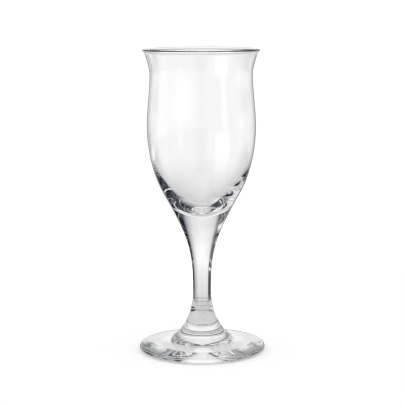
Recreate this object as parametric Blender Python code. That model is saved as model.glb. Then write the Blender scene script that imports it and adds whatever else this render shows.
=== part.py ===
"""Stemmed red wine glass of clear glass: a blown bowl, a drawn stem and a cast foot, fused to each other.

Every piece is turned about the Z axis. Sizes are in metres, Z is up, and the origin is on the table at the
centre of the foot. A profile point is a pair of radius and height, and profiles run from top to bottom.
"""

import math

import bpy
from mathutils import Matrix, Vector
from mathutils.geometry import interpolate_bezier

# Foot
FOOT_RADIUS = 0.0398
FOOT_EDGE_THICKNESS = 0.0038
FOOT_CROWN = 0.0035  # rise of the foot's upper face from its edge to the flare
STANDING_RING_WIDTH = 0.0100  # flat ring of the underside that meets the table
KICK_DEPTH = 0.0032  # shallow hollow inside the standing ring
KICK_ROUNDNESS = 1.6  # 1 for a cone, 2 for a round dome
FLARE_BASE_RADIUS = 0.0191
FLARE_BASE_ANGLE = math.radians(40.5)  # from the level
FLARE_FILLET = 0.0030  # reach of the soft corner between flare and foot
COLLAR_HEIGHT = 0.0187  # how far the foot's own glass runs up the flare

# Stem
FLARE_HEIGHT = 0.0305  # flare base up to the waist of the stem
STEM_RADIUS = 0.00565
STEM_TAPER_HEIGHT = 0.0630  # waist of the stem up to the taper of the bowl

# Bowl
TAPER_RADIUS = 0.0245
TAPER_ANGLE = math.radians(29.4)  # from the upright
BOWL_TAPER_HEIGHT = 0.0408  # taper up to the belly
BELLY_RADIUS = 0.0342
SHOULDER_HEIGHT = 0.0335  # belly up to the neck
NECK_RADIUS = 0.0322
LIP_HEIGHT = 0.0151  # neck up to the top of the rim
RIM_RADIUS = 0.03658
LIP_ANGLE = math.radians(65.5)  # of the wall under the bead, from the level
LIP_BEAD = 0.0019  # thickness of the round bead, which stands out past the wall and is flush inside
BEAD_FILLET = 0.0007  # reach of the soft corner under the bead
WALL = 0.0014
HOLLOW_DEPTH = 0.1018  # rim down to the floor of the hollow
HEEL_RISE = 0.0330  # height above the floor at which the wall starts to thicken
BASE_THICKNESS = 0.0050  # solid glass between the floor and the edge of the stem's seam

# Fused seams
SEAM_GAP = 0.0003
BOWL_SEAM_SAG = 0.0025  # how far the bowl's rounded underside sits down into the stem
FOOT_SEAM_SAG = 0.0012  # how far the stem's rounded end sits down into the foot
SEAM_ROUNDNESS = 2.0

# How far each curve pulls towards the corner of its end tangents, from 0 to 1
LIP_FULLNESS = 0.42
SHOULDER_FULLNESS = 0.32
BOWL_FULLNESS = 0.61
STEM_FULLNESS = 0.87
FLARE_FULLNESS = 0.66
FLOOR_FULLNESS = 0.475

# Facets
TURN_STEPS = 48
CURVE_POINTS = 9
LIP_POINTS = 15
STEM_POINTS = 13
ROUND_EDGE_POINTS = 7
BEAD_POINTS = 13
FILLET_POINTS = 5
DOME_POINTS = 6
MERGE_DISTANCE = 0.00001

# Heights of the stations, from the table up
FLARE_BASE = FOOT_EDGE_THICKNESS + FOOT_CROWN
STEM_WAIST = FLARE_BASE + FLARE_HEIGHT
TAPER = STEM_WAIST + STEM_TAPER_HEIGHT
BELLY = TAPER + BOWL_TAPER_HEIGHT
NECK = BELLY + SHOULDER_HEIGHT
RIM = NECK + LIP_HEIGHT
HOLLOW_FLOOR = RIM - HOLLOW_DEPTH
BOWL_SEAM = HOLLOW_FLOOR - BASE_THICKNESS
FOOT_SEAM = FLARE_BASE + COLLAR_HEIGHT

DOWN = Vector((0.0, -1.0))
INWARD = Vector((-1.0, 0.0))
UPWARD = math.pi / 2  # angle of up, counted from the outward way

CLEAR_GLASS = (0.96, 0.98, 0.98, 1.0)
GLASS_ROUGHNESS = 0.02
GLASS_IOR = 1.51


def corner(start, start_way, end, end_way):
    """Returns where the tangents at the two ends of a curve cross."""
    across = end - start
    turn = start_way.x * end_way.y - start_way.y * end_way.x
    return start + start_way * ((across.x * end_way.y - across.y * end_way.x) / turn)


def curve(start, start_way, end, end_way, fullness, count=CURVE_POINTS):
    """Returns points of a smooth curve that leaves start and reaches end along the given ways."""
    meeting = corner(start, start_way, end, end_way)
    near = start.lerp(meeting, fullness)
    far = end.lerp(meeting, fullness)
    return interpolate_bezier(start, near, far, end, count)


def s_curve(upper, lower, fullness):
    """Returns points of a curve between two places where the profile is upright."""
    reach = DOWN * ((upper.y - lower.y) * fullness)
    return interpolate_bezier(upper, upper + reach, lower - reach, lower, CURVE_POINTS)


def joined(*runs):
    """Returns runs of points as one profile, without the points that they share."""
    profile = []
    for run in runs:
        for point in run:
            if not profile or (point - profile[-1]).length > MERGE_DISTANCE:
                profile.append(point)
    return profile


def arc(centre, radius, start_angle, end_angle, count):
    """Returns points of a circular arc, with angles counted from the outward way towards up."""
    points = []
    for i in range(count):
        angle = start_angle + (end_angle - start_angle) * i / (count - 1)
        points.append(centre + Vector((math.cos(angle), math.sin(angle))) * radius)
    return points


def lip_centre():
    """Returns the middle of the lip's bead."""
    return Vector((RIM_RADIUS - LIP_BEAD / 2, RIM - LIP_BEAD / 2))


def bead_corner():
    """Returns the angle round the bead at which the outer side of the wall leaves it."""
    return LIP_ANGLE - UPWARD - math.acos(2 * WALL / LIP_BEAD - 1)


def outer_profile():
    """Returns the outer side of the whole glass, from the lip's underside to the base of the flare."""
    lip_way = Vector((-math.cos(LIP_ANGLE), -math.sin(LIP_ANGLE)))
    taper_way = Vector((-math.sin(TAPER_ANGLE), -math.cos(TAPER_ANGLE)))
    flare_way = Vector((math.cos(FLARE_BASE_ANGLE), -math.sin(FLARE_BASE_ANGLE)))
    under_bead = Vector((math.cos(bead_corner()), math.sin(bead_corner()))) * (LIP_BEAD / 2)
    lip = lip_centre() + under_bead + lip_way * BEAD_FILLET
    neck = Vector((NECK_RADIUS, NECK))
    belly = Vector((BELLY_RADIUS, BELLY))
    taper = Vector((TAPER_RADIUS, TAPER))
    waist = Vector((STEM_RADIUS, STEM_WAIST))
    flare = Vector((FLARE_BASE_RADIUS, FLARE_BASE))
    return joined(
        curve(lip, lip_way, neck, DOWN, LIP_FULLNESS, LIP_POINTS),
        s_curve(neck, belly, SHOULDER_FULLNESS),
        curve(belly, DOWN, taper, taper_way, BOWL_FULLNESS),
        curve(taper, taper_way, waist, DOWN, STEM_FULLNESS, STEM_POINTS),
        curve(waist, DOWN, flare, flare_way, FLARE_FULLNESS),
    )


def at_height(profile, height):
    """Returns the point of a falling profile at a height."""
    for above, below in zip(profile, profile[1:]):
        if above.y >= height >= below.y:
            return above.lerp(below, (above.y - height) / (above.y - below.y))
    raise ValueError("the profile doesn't reach this height")


def between(profile, top, bottom):
    """Returns the stretch of a falling profile between two heights, with a point on each."""
    inside = [point for point in profile if bottom < point.y < top]
    return joined([at_height(profile, top)], inside, [at_height(profile, bottom)])


def end_way(profile):
    """Returns the way in which a profile reaches its last point."""
    return (profile[-1] - profile[-2]).normalized()


def inset(profile):
    """Returns the inner points of a profile moved inward by the wall, square to the profile's run."""
    moved = []
    for above, point, below in zip(profile, profile[1:], profile[2:]):
        way = (below - above).normalized()
        moved.append(point + Vector((way.y, -way.x)) * WALL)
    return moved


def dome(edge, sag, roundness=SEAM_ROUNDNESS):
    """Returns a shallow dome from its edge in to the axis, which lies lower than the edge by the sag."""
    points = []
    for i in range(DOME_POINTS):
        share = 1 - i / (DOME_POINTS - 1)
        points.append(Vector((edge.x * share, edge.y - sag * (1 - share ** roundness))))
    return points


def hollow_profile(outer):
    """Returns the inside of the bowl, from the lip down the wall and the heel to the floor's centre."""
    wall = inset(outer)
    side = between(wall, wall[0].y, HOLLOW_FLOOR + HEEL_RISE)
    floor_centre = Vector((0.0, HOLLOW_FLOOR))
    return joined(side, curve(side[-1], end_way(side), floor_centre, INWARD, FLOOR_FULLNESS))


def bowl_profile(outer):
    """Returns the bowl's section: up the inside, round the lip, down the outside and in along the seam."""
    inside = hollow_profile(outer)
    bead_end = bead_corner() + 2 * BEAD_FILLET / LIP_BEAD
    bead = arc(lip_centre(), LIP_BEAD / 2, LIP_ANGLE + UPWARD, bead_end, BEAD_POINTS)
    bead_way = Vector((math.sin(bead_end), -math.cos(bead_end)))
    outside = between(outer, outer[0].y, BOWL_SEAM + SEAM_GAP / 2)
    fillet = curve(bead[-1], bead_way, outside[0], -end_way(outer[1::-1]), FLARE_FULLNESS, FILLET_POINTS)
    return joined(inside[::-1], bead, fillet, outside, dome(outside[-1], BOWL_SEAM_SAG))


def stem_profile(outer):
    """Returns the stem's section: out along the upper seam, down the outside, in along the lower seam."""
    outside = between(outer, BOWL_SEAM - SEAM_GAP / 2, FOOT_SEAM + SEAM_GAP / 2)
    return joined(dome(outside[0], BOWL_SEAM_SAG)[::-1], outside, dome(outside[-1], FOOT_SEAM_SAG))


def foot_profile(outer):
    """Returns the foot's section: out along the seam, down the flare, over the disc and back under it."""
    edge_radius = FOOT_EDGE_THICKNESS / 2
    edge_centre = Vector((FOOT_RADIUS - edge_radius, edge_radius))
    flare_base = outer[-1]
    to_edge = edge_centre - flare_base
    lift = math.asin(edge_radius / to_edge.length)
    crown_way = Matrix.Rotation(lift, 2) @ to_edge.normalized()
    collar_end = FLARE_BASE + FLARE_FILLET * math.sin(FLARE_BASE_ANGLE)
    collar = between(outer, FOOT_SEAM - SEAM_GAP / 2, collar_end)
    fillet_end = flare_base + crown_way * FLARE_FILLET
    fillet = curve(collar[-1], end_way(collar), fillet_end, crown_way, FLARE_FULLNESS, FILLET_POINTS)
    edge_start = math.atan2(crown_way.x, -crown_way.y)
    edge = arc(edge_centre, edge_radius, edge_start, -UPWARD, ROUND_EDGE_POINTS)
    ring_inside = Vector((edge_centre.x - STANDING_RING_WIDTH, 0.0))
    kick = dome(ring_inside, -KICK_DEPTH, KICK_ROUNDNESS)
    return joined(dome(collar[0], FOOT_SEAM_SAG)[::-1], collar, fillet, edge, kick)


def glass(name):
    """Returns a clear glass material."""
    material = bpy.data.materials.new(name)
    material.use_nodes = True
    shader = material.node_tree.nodes["Principled BSDF"]
    shader.inputs["Base Color"].default_value = CLEAR_GLASS
    shader.inputs["Metallic"].default_value = 0.0
    shader.inputs["Roughness"].default_value = GLASS_ROUGHNESS
    shader.inputs["IOR"].default_value = GLASS_IOR
    shader.inputs["Transmission Weight"].default_value = 1.0
    return material


def turned(name, profile, axis):
    """Turns a section about the Z axis into a closed piece."""
    mesh = bpy.data.meshes.new(name)
    points = [(point.x, 0.0, point.y) for point in profile]
    edges = [(i, i + 1) for i in range(len(points) - 1)]
    mesh.from_pydata(points, edges, [])
    mesh.materials.append(glass(name + "_glass"))
    piece = bpy.data.objects.new(name, mesh)
    bpy.context.scene.collection.objects.link(piece)
    piece.parent = axis
    screw = piece.modifiers.new("turn", "SCREW")
    screw.axis = "Z"
    screw.steps = TURN_STEPS
    screw.render_steps = TURN_STEPS
    screw.use_merge_vertices = True
    screw.merge_threshold = MERGE_DISTANCE
    screw.use_smooth_shade = True
    return piece


def main():
    for old in list(bpy.data.objects):
        bpy.data.objects.remove(old, do_unlink=True)
    axis = bpy.data.objects.new("glass_axis", None)
    bpy.context.scene.collection.objects.link(axis)
    outer = outer_profile()
    turned("bowl", bowl_profile(outer), axis)
    turned("stem", stem_profile(outer), axis)
    turned("foot", foot_profile(outer), axis)


main()
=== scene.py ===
"""Looks of the stemmed red wine glass: smooth turned pieces of clear glass on a white studio floor.

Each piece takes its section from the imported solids, runs a smooth curve through it and turns that in fine
steps. Bowl, stem and foot are fused on the real glass, so their seams are closed by faces that bend no light.
Sizes are in metres and Z is up. A section point is a pair of radius and height.
"""

import math

import bmesh
import bpy
import numpy as np
from mathutils import Matrix, Vector


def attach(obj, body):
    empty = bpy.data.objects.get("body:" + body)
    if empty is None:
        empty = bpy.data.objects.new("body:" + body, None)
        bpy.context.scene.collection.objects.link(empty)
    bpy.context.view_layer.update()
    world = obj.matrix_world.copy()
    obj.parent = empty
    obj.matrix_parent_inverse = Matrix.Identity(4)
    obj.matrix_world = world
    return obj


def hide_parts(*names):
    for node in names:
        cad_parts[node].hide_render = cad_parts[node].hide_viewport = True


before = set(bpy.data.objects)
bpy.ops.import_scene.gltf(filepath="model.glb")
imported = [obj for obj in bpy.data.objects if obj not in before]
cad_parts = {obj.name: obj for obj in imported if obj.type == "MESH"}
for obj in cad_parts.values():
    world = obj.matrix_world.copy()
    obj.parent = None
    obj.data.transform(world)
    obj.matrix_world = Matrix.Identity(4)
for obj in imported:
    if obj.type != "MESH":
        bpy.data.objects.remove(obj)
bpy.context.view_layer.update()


def radians(*degrees):
    """Returns angles in radians."""
    return tuple(math.radians(angle) for angle in degrees)


# Photograph
IMAGE_SIDE = 404  # pixels
FOCAL_PIXELS = 1391.7
CAMERA_PLACE = (0.00019, -0.865, 0.225)
CAMERA_TILT = math.radians(8.59)  # down from the level
CAMERA_ROLL = math.radians(-0.23)
CAMERA_CLIP_START = 0.01
SENSOR_WIDTH = 36.0  # millimetres

# Fineness of the turned pieces
TURN_STEPS = 192
CURVE_STEPS = 4  # from one section point of the solid to the next
SEAM_STEPS = 6
SAME_PLACE = 0.000002
ON_TABLE = 0.000005

# Glass
GLASS_IOR = 1.51
GLASS_ROUGHNESS = 0.0
GLASS_TINT = (0.995, 0.995, 0.995, 1.0)
PAINTED_EDGE_SHADE = (0.002, 0.002, 0.002, 1.0)  # painted shade: a dark outline painted where the eye looks along the surface
# facings over which the painted edge shade comes in
PAINTED_EDGE_FACING = (0.72, 0.81)
PAINTED_EDGE_END = (0.1866, 0.1880)  # heights over which the painted edge shade ends, under the bead of the lip
PAINTED_SHADE_LINES = {  # heights and weights of the faint lines of painted shade under the bead and over the collar
    "bowl": ((0.1884, 0.8),),
    "stem": ((0.0318, 0.8), (0.0263, 0.6)),
    "foot": (),
}
# grey and width of those painted shade lines
PAINTED_LINE_SHADE = (0.5, 0.5, 0.5, 1.0)
PAINTED_LINE_WIDTH = (0.0002, 0.0007)
WAVE_SCALE = 45.0  # waves to the metre, left by the blowing
WAVE_DETAIL = 0.0
WAVE_HEIGHT = 0.00002
RING_SCALE = 520.0  # rings to the metre, left by the tools that shaped the foot
RING_DETAIL = 1.0
RING_HEIGHT = 0.00001
WHITE = (1.0, 1.0, 1.0, 1.0)

# Studio, as the glass shows it. Bearings count from +X towards +Y, and a level of 1 is white. A sector is its
# bearing, the angle off it where it starts to fade and the angle where it ends. A reach, start or end is a
# pair of distances from the axis, and a rise or fade is a pair of angles above the level.
BEHIND_DIM = 0.11  # of the backdrop and the floor behind the glass, towards their sides
BEHIND_DIM_ANGLES = radians(8, 29)
BACKDROP_LEFT = radians(24, 43)
BACKDROP_RIGHT = radians(17, 56)
BACKDROP_LOW = 1.03
BACKDROP_HIGH = 0.86
BACKDROP_BEND = radians(0, 25)
WINDOW_BEARING = math.radians(226)
WINDOW_LEFT = radians(24, 52)
WINDOW_RIGHT = radians(22, 43)
WINDOW_LOW = 0.75
WINDOW_LEVEL = 0.95
WINDOW_RISE = radians(0, 8)
WINDOW_FADE = radians(10, 52)
OVERHEAD_WAY = (0.0, -0.17, 0.985)
OVERHEAD_ANGLES = radians(10, 30)
OVERHEAD_LEVEL = 0.7
WALL_SECTOR = radians(155, 15, 40)
WALL_LEVEL = 0.17
WALL_FADE = radians(20, 60)
WALL_FLOOR = 0.10
WALL_REACH = (0.1, 0.4)
SIDES = (  # sector, level, reach on the floor and fade up the walls
    (radians(180, 8, 26), 1.0, (0.06, 0.15), radians(8, 28)),
    (radians(155, 25, 45), 0.5, (1.2, 2.8), radians(0, 2)),
    (radians(25, 25, 45), 0.4, (1.2, 2.8), radians(0, 2)),
    (radians(320, 5, 9), 0.75, (0.8, 1.6), radians(9, 19)),
)
FILLS = (  # sector, level and reach, only mirrored on the outside of the glass
    (radians(158, 20, 36), 0.95, (0.40, 0.60)),
    (radians(22, 20, 36), 0.90, (0.40, 0.60)),
)
ROOM_SHADE = (0.003, 0.009, 0.022)
FLOOR_LEFT = radians(28, 36)
FLOOR_RIGHT = radians(13, 62)
FLOOR_NEAR = 0.56
FLOOR_FAR = 1.04
FLOOR_REACH = (0.028, 1.2)
FLOOR_WINDOW = 0.58
FLOOR_WINDOW_REACH = (0.055, 0.125)
POOLS = (  # sector, level, start and end
    (radians(330, 5, 53), 0.40, (0.03, 0.05), (0.23, 0.50)),
    (radians(315, 10, 22), 1.0, (0.09, 0.15), (1.0, 2.0)),
    (radians(135, 7, 11), 0.97, (0.43, 0.48), (0.61, 0.70)),
    (radians(270, 10, 40), 0.96, (0.005, 0.012), (0.085, 0.21)),
)
FOOT_GLOW = 0.67
FOOT_GLOW_REACH = (0.037, 0.13)
CONTACT_SECTOR = radians(90, 0, 80)  # under the back of the standing ring
CONTACT_SHADE = 0.55
CONTACT_START = (0.0335, 0.0365)
CONTACT_END = (0.0395, 0.0425)
TWO_WALLS = 4  # surfaces that light crosses on its way through the bowl
FLOOR_RADIUS = 40.0
FLOOR_CORNERS = 64
FLOOR_DROP = 0.0003  # the floor lies a hair under the standing ring
FLOOR_WHITE = 1.16
SHADOW_WEIGHT = 0.7

# Render
FILTER_WIDTH = 1.0  # pixels
BOUNCES = 24

# Sockets of the Mix node that carry colours
MIX_FIRST = 6
MIX_SECOND = 7
MIX_RESULT = 2


def meridian(node):
    """Returns the section of a turned solid on its +X side, from the upper point on the axis to the lower."""
    mesh = node.data
    places = {}
    links = {}
    for face in mesh.polygons:
        keys = []
        for i in face.vertices:
            place = mesh.vertices[i].co
            if abs(place.y) < SAME_PLACE and place.x > -SAME_PLACE:
                key = (round(place.x / SAME_PLACE), round(place.z / SAME_PLACE))
                places[key] = (max(place.x, 0.0), place.z)
                keys.append(key)
        if len(keys) == 2 and keys[0] != keys[1]:
            links.setdefault(keys[0], set()).add(keys[1])
            links.setdefault(keys[1], set()).add(keys[0])
    axis = [key for key in links if key[0] == 0]
    walk = [max(axis, key=lambda key: key[1])]
    while True:
        onward = [key for key in links[walk[-1]] if key not in walk[-2:]]
        if not onward:
            return [places[key] for key in walk]
        walk.append(onward[0])


def mirrored(points):
    """Returns points seen across the axis."""
    return [(-radius, height) for radius, height in points]


def spline(points, steps):
    """Returns a natural cubic spline through points, with a number of steps from each point to the next."""
    place = np.array(points)
    gap = np.linalg.norm(np.diff(place, axis=0), axis=1)[:, None]
    slope = np.diff(place, axis=0) / gap
    system = np.eye(len(place))
    right = np.zeros_like(place)
    for i in range(1, len(place) - 1):
        system[i, i - 1] = gap[i - 1, 0]
        system[i, i] = 2 * (gap[i - 1, 0] + gap[i, 0])
        system[i, i + 1] = gap[i, 0]
        right[i] = 6 * (slope[i] - slope[i - 1])
    bend = np.linalg.solve(system, right)
    runs = []
    for i, width in enumerate(gap[:, 0]):
        after = np.arange(steps)[:, None] * width / steps
        before = width - after
        run = (bend[i] * before ** 3 + bend[i + 1] * after ** 3) / (6 * width)
        run += (place[i] / width - bend[i] * width / 6) * before
        run += (place[i + 1] / width - bend[i + 1] * width / 6) * after
        runs.append(run)
    runs.append(place[-1:])
    return np.vstack(runs)


def from_axis(points):
    """Returns a smooth curve through points that start on the axis, level where it crosses the axis."""
    across = mirrored(points[1:3])[::-1]
    return spline(across + points, CURVE_STEPS)[len(across) * CURVE_STEPS:]


def turn(section, i):
    """Returns the cosine of the turn at a section point, which is lowest at a seam's edge."""
    before = Vector(section[i]) - Vector(section[i - 1])
    after = Vector(section[i + 1]) - Vector(section[i])
    return before.normalized().dot(after.normalized())


def sharpest(section, first, last):
    """Returns the index of the sharpest turn of a section, from one index up to another."""
    return min(range(first, last), key=lambda i: turn(section, i))


def dome(edge, centre_height):
    """Returns a seam's shallow dome from its edge in to the axis."""
    points = []
    for i in range(SEAM_STEPS + 1):
        share = 1 - i / SEAM_STEPS
        height = centre_height + (edge[1] - centre_height) * share * share
        points.append((edge[0] * share, height))
    return points


def cut(curve, height):
    """Returns a falling curve's two parts above and below a height, both with a point on it."""
    i = max(k for k in range(len(curve)) if curve[k][1] > height)
    share = (curve[i][1] - height) / (curve[i][1] - curve[i + 1][1])
    place = curve[i] + (curve[i + 1] - curve[i]) * share
    return np.vstack([curve[:i + 1], place]), np.vstack([place, curve[i + 1:]])


def sections():
    """Returns the sections of bowl, stem and foot as lists of runs, each with a word for its surface."""
    bowl = meridian(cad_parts["bowl"])
    stem = meridian(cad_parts["stem"])
    foot = meridian(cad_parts["foot"])
    bowl_edge = sharpest(bowl, len(bowl) // 2, len(bowl) - 1)
    stem_top = sharpest(stem, 1, len(stem) // 2)
    stem_end = sharpest(stem, len(stem) // 2, len(stem) - 1)
    foot_top = sharpest(foot, 1, len(foot) // 2)
    ring = [i for i, point in enumerate(foot) if point[1] < ON_TABLE]
    outline = bowl[:bowl_edge + 1] + stem[stem_top:stem_end + 1] + foot[foot_top:ring[0] + 1]
    whole = from_axis(outline)
    lip = int(np.argmax(whole[:, 1]))
    bowl_wall, rest = cut(whole[lip:], (bowl[bowl_edge][1] + stem[stem_top][1]) / 2)
    stem_wall, foot_wall = cut(rest, (stem[stem_end][1] + foot[foot_top][1]) / 2)
    bowl_cap = dome(bowl_wall[-1], (bowl[-1][1] + stem[0][1]) / 2)
    foot_cap = dome(stem_wall[-1], (stem[-1][1] + foot[0][1]) / 2)
    kick = from_axis(foot[ring[-1]:][::-1])[::-1]
    return {
        "bowl": [("inside", whole[:lip + 1]), ("outside", bowl_wall), ("seam", bowl_cap)],
        "stem": [("seam", bowl_cap[::-1]), ("outside", stem_wall), ("seam", foot_cap)],
        "foot": [("seam", foot_cap[::-1]), ("outside", foot_wall), ("inside", kick)],
    }


def crease(mesh, ring):
    """Marks a ring of edges as sharp."""
    for k in range(TURN_STEPS):
        mesh.edges.get((ring[k], ring[k - 1])).smooth = False


def join(mesh, upper, lower, material_index):
    """Fills the band between two rings, or a ring and a point on the axis."""
    for k in range(TURN_STEPS):
        following = (k + 1) % TURN_STEPS
        if len(upper) == 1:
            corners = (upper[0], lower[k], lower[following])
        elif len(lower) == 1:
            corners = (upper[k], lower[0], upper[following])
        else:
            corners = (upper[k], lower[k], lower[following], upper[following])
        face = mesh.faces.new(corners)
        face.smooth = True
        face.material_index = material_index


def placed(name, mesh, materials):
    """Returns a new object in the scene with a finished mesh and its materials."""
    data = bpy.data.meshes.new(name)
    mesh.to_mesh(data)
    mesh.free()
    for material in materials:
        data.materials.append(material)
    result = bpy.data.objects.new(name, data)
    bpy.context.scene.collection.objects.link(result)
    return result


def turned(name, runs, materials):
    """Turns a section about the Z axis into a closed piece, with a sharp edge round each seam."""
    mesh = bmesh.new()
    headings = [2 * math.pi * k / TURN_STEPS for k in range(TURN_STEPS)]
    circle = [(math.cos(heading), math.sin(heading)) for heading in headings]
    last = before = None
    for surface, run in runs:
        if last and "seam" in (surface, before):
            crease(mesh, last)
        for radius, height in run[1:] if last else run:
            if radius < SAME_PLACE:
                ring = [mesh.verts.new((0.0, 0.0, height))]
            else:
                ring = [mesh.verts.new((radius * x, radius * y, height)) for x, y in circle]
            if last:
                join(mesh, last, ring, list(materials).index(surface))
            last = ring
        before = surface
    return placed(name, mesh, materials.values())


class Graph:
    """Adds shader nodes to a tree and joins them."""

    def __init__(self, owner):
        owner.use_nodes = True
        self.tree = owner.node_tree
        self.tree.nodes.clear()

    def add(self, kind, **settings):
        """Returns a new node of a kind."""
        node = self.tree.nodes.new("ShaderNode" + kind)
        for key, value in settings.items():
            setattr(node, key, value)
        return node

    def feed(self, socket, value):
        """Links a socket to another one, or sets it to a value."""
        if isinstance(value, bpy.types.NodeSocket):
            self.tree.links.new(value, socket)
        else:
            socket.default_value = value

    def filled(self, node, values):
        """Returns a node with its first sockets fed."""
        for socket, value in zip(node.inputs, values):
            self.feed(socket, value)
        return node

    def math(self, operation, *values):
        """Returns the result of an operation on numbers."""
        return self.filled(self.add("Math", operation=operation), values).outputs[0]

    def vector(self, operation, *values):
        """Returns the result of an operation on vectors."""
        node = self.filled(self.add("VectorMath", operation=operation), values)
        return node.outputs["Value" if operation in ("DOT_PRODUCT", "LENGTH") else "Vector"]

    def parts(self, vector):
        """Returns the X, Y and Z of a vector."""
        return self.filled(self.add("SeparateXYZ"), (vector,)).outputs

    def chain(self, operation, values):
        """Returns numbers joined by one operation, from the first to the last."""
        result = values[0]
        for value in values[1:]:
            result = self.math(operation, result, value)
        return result

    def product(self, *values):
        """Returns the product of numbers."""
        return self.chain("MULTIPLY", values)

    def total(self, *values):
        """Returns the sum of numbers."""
        return self.chain("ADD", values)

    def highest(self, *values):
        """Returns the highest of numbers."""
        return self.chain("MAXIMUM", values)

    def smooth(self, value, start, end, start_level=0.0, end_level=1.0):
        """Returns a soft step from one level to another as a value goes from start to end."""
        node = self.add("MapRange", interpolation_type="SMOOTHSTEP")
        return self.filled(node, (value, start, end, start_level, end_level)).outputs[0]

    def choose(self, switch, when_off, when_on):
        """Returns one of two numbers, by a switch that is 0 or 1."""
        return self.smooth(switch, 0.0, 1.0, when_off, when_on)

    def at_least(self, count, number):
        """Returns 1 where a count is at least a whole number."""
        return self.math("GREATER_THAN", count, number - 0.5)

    def at_most(self, count, number):
        """Returns 1 where a count is at most a whole number."""
        return self.math("LESS_THAN", count, number + 0.5)

    def level(self, place):
        """Returns a place brought down to the level of the origin."""
        return self.vector("MULTIPLY", place, (1.0, 1.0, 0.0))

    def heading(self, place):
        """Returns a place's direction from the axis, on the level."""
        return self.vector("NORMALIZE", self.level(place))

    def off(self, heading, bearing):
        """Returns the angle between a level heading and a bearing."""
        way = (math.cos(bearing), math.sin(bearing), 0.0)
        return self.math("ARCCOSINE", self.vector("DOT_PRODUCT", heading, way))

    def sector(self, heading, bearing, full, spread):
        """Returns 1 along a bearing, falling softly to 0 from one angle off it to another."""
        return self.smooth(self.off(heading, bearing), full, spread, 1.0, 0.0)

    def reach(self, place, limits, start_level=0.0, end_level=1.0):
        """Returns a soft step between two distances from the axis, even on a scale of ratios."""
        ratio = self.math("LOGARITHM", self.vector("LENGTH", place), 10.0)
        return self.smooth(ratio, math.log10(limits[0]), math.log10(limits[1]), start_level, end_level)

    def shaded(self, level):
        """Returns a grey of some level, with the room's bluish shade where it is dark."""
        dark = self.math("SUBTRACT", 1.0, self.math("MINIMUM", level, 1.0))
        return self.vector("MULTIPLY_ADD", dark, ROOM_SHADE, level)

    def seen_in_glass(self):
        """Returns 1 for light that reaches the eye by way of the glass."""
        path = self.add("LightPath").outputs
        return self.highest(path["Is Glossy Ray"], path["Is Transmission Ray"])

    def mirrored_outside(self):
        """Returns 1 for light that has not been in the glass."""
        return self.at_most(self.add("LightPath").outputs["Transmission Depth"], 0)

    def through_walls(self):
        """Returns 1 for light that has come straight through two walls of the bowl."""
        path = self.add("LightPath").outputs
        crossed = self.at_least(path["Transmission Depth"], TWO_WALLS)
        return self.product(crossed, self.at_most(path["Ray Depth"], TWO_WALLS + 1))

    def tinted(self, share, colour, tint):
        """Returns a colour with a share of a tint mixed in."""
        mix = self.add("Mix", data_type="RGBA")
        self.feed(mix.inputs["Factor"], share)
        self.feed(mix.inputs[MIX_FIRST], colour)
        self.feed(mix.inputs[MIX_SECOND], tint)
        return mix.outputs[MIX_RESULT]

    def bumped(self, height, distance, normal=None):
        """Returns a normal with a relief of some height added to it."""
        bump = self.add("Bump")
        bump.inputs["Distance"].default_value = distance
        self.feed(bump.inputs["Height"], height)
        if normal is not None:
            self.feed(bump.inputs["Normal"], normal)
        return bump.outputs["Normal"]

    def mixed(self, share, first, second):
        """Returns a mix of two shaders, with a share of the second."""
        return self.filled(self.add("MixShader"), (share, first.outputs[0], second.outputs[0]))

    def show(self, shader, output="OutputMaterial"):
        """Makes a shader the one that the tree shows."""
        self.feed(self.add(output).inputs["Surface"], shader.outputs[0])


def behind(graph, heading, left, right):
    """Returns the bright field behind the glass, dimmer to its sides and dark past its two edges."""
    parts = graph.parts(heading)
    aside = graph.math("ARCTAN2", graph.math("MULTIPLY", parts["X"], -1.0), parts["Y"])
    return graph.product(
        graph.smooth(graph.math("ABSOLUTE", aside), *BEHIND_DIM_ANGLES, 1.0, 1.0 - BEHIND_DIM),
        graph.smooth(aside, *left, 1.0, 0.0),
        graph.smooth(graph.math("MULTIPLY", aside, -1.0), *right, 1.0, 0.0),
    )


def window_width(graph, heading):
    """Returns the window by heading, with a soft left edge and a crisper right one."""
    across = graph.off(heading, WINDOW_BEARING)
    right = (-math.sin(WINDOW_BEARING), math.cos(WINDOW_BEARING), 0.0)
    is_right = graph.math("GREATER_THAN", graph.vector("DOT_PRODUCT", heading, right), 0.0)
    left_edge = graph.smooth(across, *WINDOW_LEFT, 1.0, 0.0)
    right_edge = graph.smooth(across, *WINDOW_RIGHT, 1.0, 0.0)
    return graph.choose(is_right, left_edge, right_edge)


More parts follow.
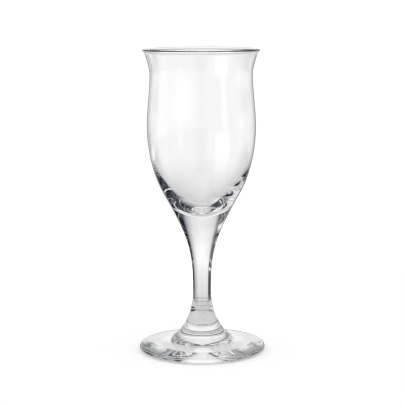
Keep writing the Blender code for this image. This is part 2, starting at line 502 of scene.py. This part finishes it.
def make_world():
    """A white room, in which the glass sees a soft backdrop, a window, a light overhead and dark sides."""
    world = bpy.data.worlds.new("studio")
    bpy.context.scene.world = world
    graph = Graph(world)
    way = graph.add("TexCoord").outputs["Generated"]
    heading = graph.heading(way)
    rise = graph.math("ARCSINE", graph.parts(way)["Z"])
    bend = graph.smooth(rise, *BACKDROP_BEND, BACKDROP_LOW, BACKDROP_HIGH)
    backdrop = graph.product(behind(graph, heading, BACKDROP_LEFT, BACKDROP_RIGHT), bend)
    window = graph.product(
        window_width(graph, heading),
        graph.smooth(rise, *WINDOW_RISE, WINDOW_LOW, WINDOW_LEVEL),
        graph.smooth(rise, *WINDOW_FADE, 1.0, 0.0),
    )
    wall = graph.product(
        graph.sector(heading, *WALL_SECTOR),
        graph.smooth(rise, *WALL_FADE, WALL_LEVEL, 0.0),
    )
    from_overhead = graph.math("ARCCOSINE", graph.vector("DOT_PRODUCT", way, OVERHEAD_WAY))
    overhead = graph.smooth(from_overhead, *OVERHEAD_ANGLES, OVERHEAD_LEVEL, 0.0)
    sides = []
    for sector, level, _, fade in SIDES:
        sides.append(graph.product(graph.sector(heading, *sector), graph.smooth(rise, *fade, level, 0.0)))
    panels = graph.highest(graph.total(backdrop, window, wall), overhead, *sides)
    light = graph.choose(graph.through_walls(), panels, bend)
    plain = graph.add("Background")
    plain.inputs["Color"].default_value = WHITE
    in_glass = graph.add("Background")
    graph.feed(in_glass.inputs["Color"], graph.shaded(light))
    graph.show(graph.mixed(graph.seen_in_glass(), plain, in_glass), "OutputWorld")


def floor_light(graph):
    """Returns the floor's light as the glass shows it: bright behind and towards the window, dark aside."""
    place = graph.add("NewGeometry").outputs["Position"]
    heading = graph.heading(place)
    distance = graph.reach(place, FLOOR_REACH, FLOOR_NEAR, FLOOR_FAR)
    field = graph.product(behind(graph, heading, FLOOR_LEFT, FLOOR_RIGHT), distance)
    window = graph.product(
        window_width(graph, heading),
        graph.reach(place, FLOOR_WINDOW_REACH, 0.0, FLOOR_WINDOW),
    )
    wall = graph.product(graph.sector(heading, *WALL_SECTOR), graph.reach(place, WALL_REACH, 0.0, WALL_FLOOR))
    pools = []
    for sector, level, start, _ in SIDES:
        pools.append(graph.product(graph.sector(heading, *sector), graph.reach(place, start, 0.0, level)))
    for sector, level, start, end in POOLS:
        pools.append(graph.product(
            graph.sector(heading, *sector),
            graph.reach(place, start, 0.0, level),
            graph.reach(place, end, 1.0, 0.0),
        ))
    for sector, level, start in FILLS:
        pools.append(graph.product(
            graph.mirrored_outside(),
            graph.sector(heading, *sector),
            graph.reach(place, start, 0.0, level),
        ))
    glow = graph.reach(place, FOOT_GLOW_REACH, FOOT_GLOW, 0.0)
    lit = graph.highest(graph.total(field, window, wall), glow, *pools)
    contact = graph.product(
        graph.sector(heading, *CONTACT_SECTOR),
        graph.reach(place, CONTACT_START, 0.0, CONTACT_SHADE),
        graph.reach(place, CONTACT_END, 1.0, 0.0),
    )
    lit = graph.product(lit, graph.math("SUBTRACT", 1.0, contact))
    return graph.shaded(graph.choose(graph.through_walls(), lit, distance))


def floor_material():
    """White with the glass's soft shadow, and in the glass the light of the room on it."""
    material = bpy.data.materials.new("studio_floor")
    graph = Graph(material)
    in_glass = graph.add("Emission")
    graph.feed(in_glass.inputs["Color"], floor_light(graph))
    white = graph.add("Emission")
    white.inputs["Strength"].default_value = FLOOR_WHITE
    matte = graph.add("BsdfDiffuse")
    matte.inputs["Color"].default_value = WHITE
    seen = graph.mixed(SHADOW_WEIGHT, white, matte)
    graph.show(graph.mixed(graph.seen_in_glass(), seen, in_glass))
    return material


def make_floor():
    """A round level floor under the glass."""
    mesh = bmesh.new()
    bmesh.ops.create_circle(mesh, cap_ends=True, radius=FLOOR_RADIUS, segments=FLOOR_CORNERS)
    floor = placed("studio_floor", mesh, [floor_material()])
    floor.location.z = -FLOOR_DROP


def blown_normal(graph):
    """Returns the surface's normal with the slow waves that blowing leaves."""
    waves = graph.add("TexNoise")
    graph.feed(waves.inputs["Vector"], graph.add("TexCoord").outputs["Object"])
    waves.inputs["Scale"].default_value = WAVE_SCALE
    waves.inputs["Detail"].default_value = WAVE_DETAIL
    return graph.bumped(waves.outputs[0], WAVE_HEIGHT)


def ringed_normal(graph, normal):
    """Returns a normal with the faint rings of a tool that was held to the turning foot."""
    place = graph.add("TexCoord").outputs["Object"]
    radius = graph.vector("LENGTH", graph.level(place))
    rings = graph.add("TexNoise", noise_dimensions="1D")
    graph.feed(rings.inputs["W"], graph.math("SUBTRACT", radius, graph.parts(place)["Z"]))
    rings.inputs["Scale"].default_value = RING_SCALE
    rings.inputs["Detail"].default_value = RING_DETAIL
    return graph.bumped(rings.outputs[0], RING_HEIGHT, normal)


def painted_shade_colour(graph, shade_lines):
    """Returns a tint with painted shade: darker where the eye looks along the glass, and faint lines of
    painted shade at some heights.
    """
    height = graph.parts(graph.add("TexCoord").outputs["Object"])["Z"]
    # painted shade along the outline, where the glass is seen edgewise
    edge = graph.product(
        graph.smooth(graph.add("LayerWeight").outputs["Facing"], *PAINTED_EDGE_FACING),
        graph.smooth(height, *PAINTED_EDGE_END, 1.0, 0.0),
    )
    # faint lines of painted shade at some heights
    lines = []
    for line_height, weight in shade_lines:
        away = graph.math("ABSOLUTE", graph.math("SUBTRACT", height, line_height))
        lines.append(graph.smooth(away, *PAINTED_LINE_WIDTH, weight, 0.0))
    return graph.tinted(graph.highest(*lines), graph.tinted(edge, GLASS_TINT, PAINTED_EDGE_SHADE), PAINTED_LINE_SHADE)


def glass_material(name, shade_lines=(), ringed=False):
    """Clear fire-polished glass, with painted shade along its outline and in faint lines if shade lines are
    given, and with tool rings if ringed.
    """
    material = bpy.data.materials.new(name)
    graph = Graph(material)
    shader = graph.add("BsdfPrincipled")
    # the colour carries the painted edge shade and the painted shade lines
    graph.feed(shader.inputs["Base Color"], painted_shade_colour(graph, shade_lines) if shade_lines else GLASS_TINT)
    shader.inputs["Roughness"].default_value = GLASS_ROUGHNESS
    shader.inputs["IOR"].default_value = GLASS_IOR
    shader.inputs["Transmission Weight"].default_value = 1.0
    normal = blown_normal(graph)
    graph.feed(shader.inputs["Normal"], ringed_normal(graph, normal) if ringed else normal)
    graph.show(shader)
    return material


def seam_material():
    """The inside of a fused seam, which bends no light."""
    material = bpy.data.materials.new("fused_seam")
    graph = Graph(material)
    graph.show(graph.add("BsdfTransparent"))
    return material


def make_camera():
    """The camera at the photograph's place."""
    data = bpy.data.cameras.new("camera")
    data.sensor_width = SENSOR_WIDTH
    data.lens = FOCAL_PIXELS * SENSOR_WIDTH / IMAGE_SIDE
    data.clip_start = CAMERA_CLIP_START
    data.clip_end = 2 * FLOOR_RADIUS
    camera = bpy.data.objects.new("camera", data)
    bpy.context.scene.collection.objects.link(camera)
    camera.matrix_world = (
        Matrix.Translation(CAMERA_PLACE)
        @ Matrix.Rotation(math.pi / 2 - CAMERA_TILT, 4, "X")
        @ Matrix.Rotation(CAMERA_ROLL, 4, "Z")
    )
    bpy.context.scene.camera = camera


def main():
    """Makes the stage, and the three pieces of the glass in place of the solids."""
    scene = bpy.context.scene
    scene.view_settings.view_transform = "Standard"
    scene.cycles.filter_width = FILTER_WIDTH
    scene.cycles.max_bounces = BOUNCES
    scene.cycles.transmission_bounces = BOUNCES
    scene.cycles.glossy_bounces = BOUNCES
    scene.cycles.transparent_max_bounces = BOUNCES
    make_camera()
    make_world()
    make_floor()
    seam = seam_material()
    names = {"bowl": "bowl_wall", "stem": "stem_shaft", "foot": "foot_disc"}
    for node, runs in sections().items():
        slot = node + "_glass"
        materials = {
            # the outsides of bowl and stem get painted shade along the outline and in faint lines, the foot
            # gets none
            "outside": glass_material(slot, PAINTED_SHADE_LINES[node], node == "foot"),
            "inside": glass_material(slot + "_inside"),
            "seam": seam,
        }
        piece = turned(names[node], runs, materials)
        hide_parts(node)
        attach(piece, "root")


main()
